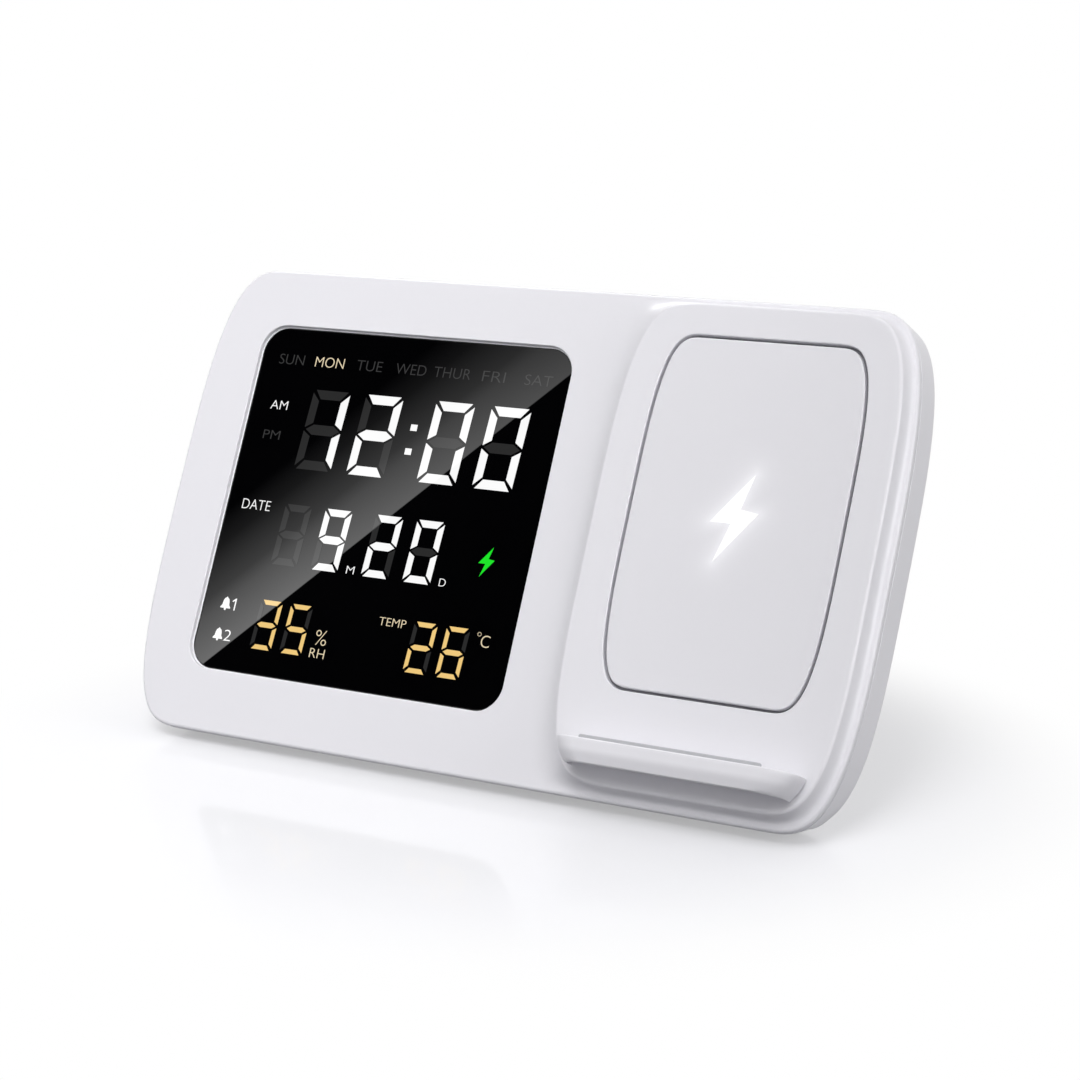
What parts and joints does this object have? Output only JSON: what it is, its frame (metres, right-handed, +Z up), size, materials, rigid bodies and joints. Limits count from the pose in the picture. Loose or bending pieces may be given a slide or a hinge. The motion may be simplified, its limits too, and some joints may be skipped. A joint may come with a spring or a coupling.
{
  "type": "digital alarm clock",
  "caption": "Slim leaning desk clock with a black display window, a raised charging platform with a phone ledge, and a fold-out kickstand behind.",
  "frame": {"origin": "bottom centre of the part's box, on the surface that it stands on", "axes": "+X along the front to the display's right, +Y from the front towards the kickstand, +Z up; the casing leans back by 25 degrees"},
  "size_m": [0.1632, 0.0632, 0.0939],
  "materials": {
    "white_abs": "white moulded ABS, fine satin texture",
    "white_panel": "white moulded ABS, smooth satin",
    "black_lens": "back-printed gloss acrylic",
    "lcd_glass": "dark display glass",
    "clear_acrylic": "frosted clear acrylic",
    "circuit_board": "green solder mask",
    "black_plastic": "moulded black plastic",
    "copper": "enamelled copper winding",
    "ferrite": "dull dark ferrite",
    "steel": "bright nickel-plated steel",
    "grey_silicone": "matt moulded silicone",
    "pale_rubber": "matt pale rubber"
  },
  "bodies": {
    "casing": {"front_shell": "white_abs", "rear_shell": "white_abs", "display_lens": "black_lens", "lcd_panel": "lcd_glass", "backlight_diffuser": "clear_acrylic", "backlight_board": "circuit_board", "display_frame": "black_plastic", "charging_panel": "white_panel", "charging_coil": "copper", "ferrite_sheet": "ferrite", "coil_carrier": "black_plastic", "charge_led_board": "circuit_board", "charge_light_guide": "clear_acrylic", "phone_ledge": "white_abs", "grip_strip": "grey_silicone", "main_board": "circuit_board", "usb_socket": "steel", "cell_holder": "black_plastic", "backup_cell": "steel", "battery_door": "white_abs", "battery_door_screw": "steel", "buzzer": "black_plastic", "climate_sensor": "circuit_board", "button_board": "circuit_board", "switch_1": "steel", "switch_2": "steel", "switch_3": "steel", "switch_4": "steel", "switch_5": "steel", "shell_screw_1": "steel", "shell_screw_2": "steel", "shell_screw_3": "steel", "shell_screw_4": "steel", "shell_screw_5": "steel", "shell_screw_6": "steel", "ledge_screw_1": "steel", "ledge_screw_2": "steel", "foot_left": "pale_rubber", "foot_right": "pale_rubber", "kickstand_pin": "steel"},
    "stand": {"kickstand": "white_abs", "kickstand_foot": "pale_rubber"},
    "set_key": {"button_set": "white_abs"},
    "down_key": {"button_down": "white_abs"},
    "up_key": {"button_up": "white_abs"},
    "alarm_key": {"button_alarm": "white_abs"},
    "light_key": {"button_light": "white_abs"}
  },
  "joints": [
    {"name": "kickstand_fold", "type": "hinge", "parent": "casing", "child": "stand", "pos_m": [0, 0.01684, 0.06615], "axis": [1, 0, 0], "range_deg": [-36, 0]},
    {"name": "set_press", "type": "slide", "parent": "casing", "child": "set_key", "axis": [0, -0.9063, 0.4226], "range_m": [0, 0.0005], "stiffness_N_per_m": 1500},
    {"name": "down_press", "type": "slide", "parent": "casing", "child": "down_key", "axis": [0, -0.9063, 0.4226], "range_m": [0, 0.0005], "stiffness_N_per_m": 1500},
    {"name": "up_press", "type": "slide", "parent": "casing", "child": "up_key", "axis": [0, -0.9063, 0.4226], "range_m": [0, 0.0005], "stiffness_N_per_m": 1500},
    {"name": "alarm_press", "type": "slide", "parent": "casing", "child": "alarm_key", "axis": [0, -0.9063, 0.4226], "range_m": [0, 0.0005], "stiffness_N_per_m": 1500},
    {"name": "light_press", "type": "slide", "parent": "casing", "child": "light_key", "axis": [0, -0.9063, 0.4226], "range_m": [0, 0.0005], "stiffness_N_per_m": 1500}
  ]
}
